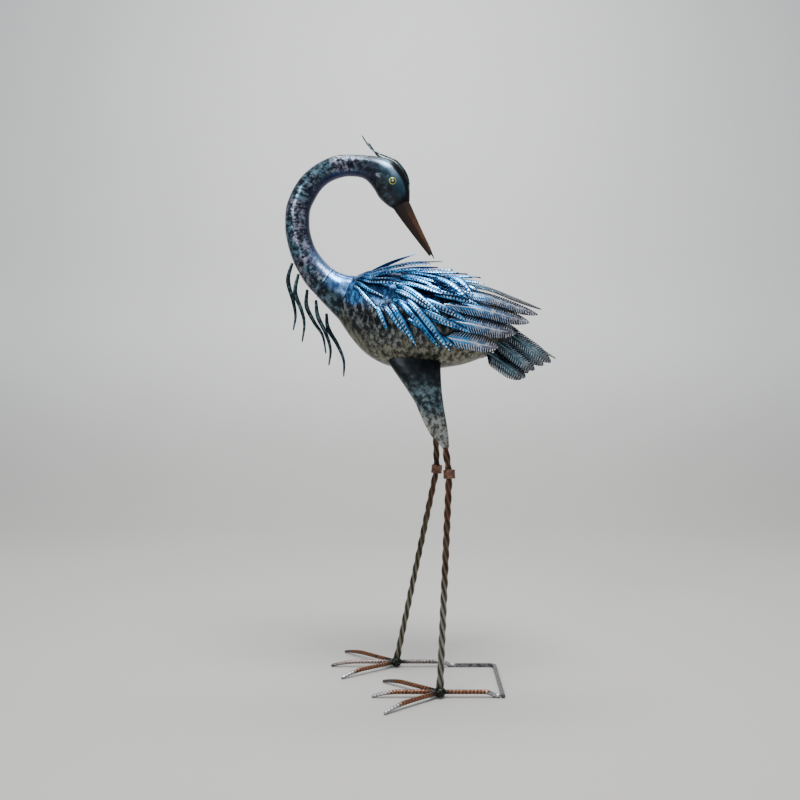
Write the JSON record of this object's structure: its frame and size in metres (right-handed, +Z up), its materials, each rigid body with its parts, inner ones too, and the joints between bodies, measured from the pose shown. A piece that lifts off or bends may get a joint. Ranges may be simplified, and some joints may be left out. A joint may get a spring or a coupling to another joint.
{
  "type": "crane garden statue",
  "caption": "Metal garden bird on two long twisted-bar legs, its long neck curved back over wings of layered sheet-metal feathers, standing on forged toes and a rear bar.",
  "frame": {"origin": "centre of the bounding box at floor level", "axes": "+Z up, +X from breast to tail, -Y the side that the picture shows"},
  "size_m": [0.4703, 0.3078, 0.9453],
  "materials": {
    "pewter": "dark pewter paint dabbed with silver and teal, satin",
    "dark_plume": "black-teal metallic paint, satin",
    "feather_blue": "azure metallic paint with rubbed bright crimps",
    "feather_flight": "blue metallic paint fading to rubbed pewter at the tips",
    "bill_copper": "orange-copper paint, satin",
    "bill_dark": "brown-black paint, satin",
    "eye_paint": "gloss yellow-green enamel with a black pupil",
    "leg_bar": "dark paint rubbed to silver and copper on the edges",
    "copper": "copper paint with dark hammered notches",
    "bar_steel": "dark grey steel, satin"
  },
  "bodies": {
    "root": {"body": "pewter", "neck_base": "pewter", "neck_and_head": "pewter", "upper_bill": "bill_copper", "lower_bill": "bill_dark", "eye_near": "eye_paint", "eye_far": "eye_paint", "crest_plume_near": "dark_plume", "crest_plume_far": "dark_plume", "breast_plume_1": "dark_plume", "breast_plume_2": "dark_plume", "breast_plume_3": "dark_plume", "breast_plume_4": "dark_plume", "breast_plume_5": "dark_plume", "thigh_near": "pewter", "thigh_far": "pewter", "leg_near": "leg_bar", "leg_far": "leg_bar", "knee_collar_near": "copper", "knee_collar_far": "copper", "near_front_toe": "copper", "near_inner_toe": "copper", "near_outer_toe": "copper", "far_front_toe": "copper", "far_inner_toe": "copper", "far_outer_toe": "copper", "heel_rod_near": "copper", "heel_rod_far": "copper", "rear_bar": "bar_steel", "primary_1_near": "feather_flight", "primary_2_near": "feather_flight", "primary_3_near": "feather_flight", "primary_4_near": "feather_flight", "primary_5_near": "feather_flight", "primary_1_far": "feather_flight", "primary_2_far": "feather_flight", "primary_3_far": "feather_flight", "primary_4_far": "feather_flight", "primary_5_far": "feather_flight", "tail_feather_1_near": "feather_flight", "tail_feather_2_near": "feather_flight", "tail_feather_3_near": "feather_flight", "tail_feather_1_far": "feather_flight", "tail_feather_2_far": "feather_flight", "tail_feather_3_far": "feather_flight", "tail_feather_middle": "feather_flight", "secondary_coverts_near": "feather_blue", "secondary_coverts_far": "feather_blue", "upper_coverts_near": "feather_blue", "upper_coverts_far": "feather_blue", "scapulars_near": "feather_blue", "scapulars_far": "feather_blue", "shoulder_strips_near": "feather_blue", "shoulder_strips_far": "feather_blue", "mantle_strips_near": "feather_blue", "mantle_strips_far": "feather_blue", "back_plume": "feather_blue"}
  },
  "joints": []
}
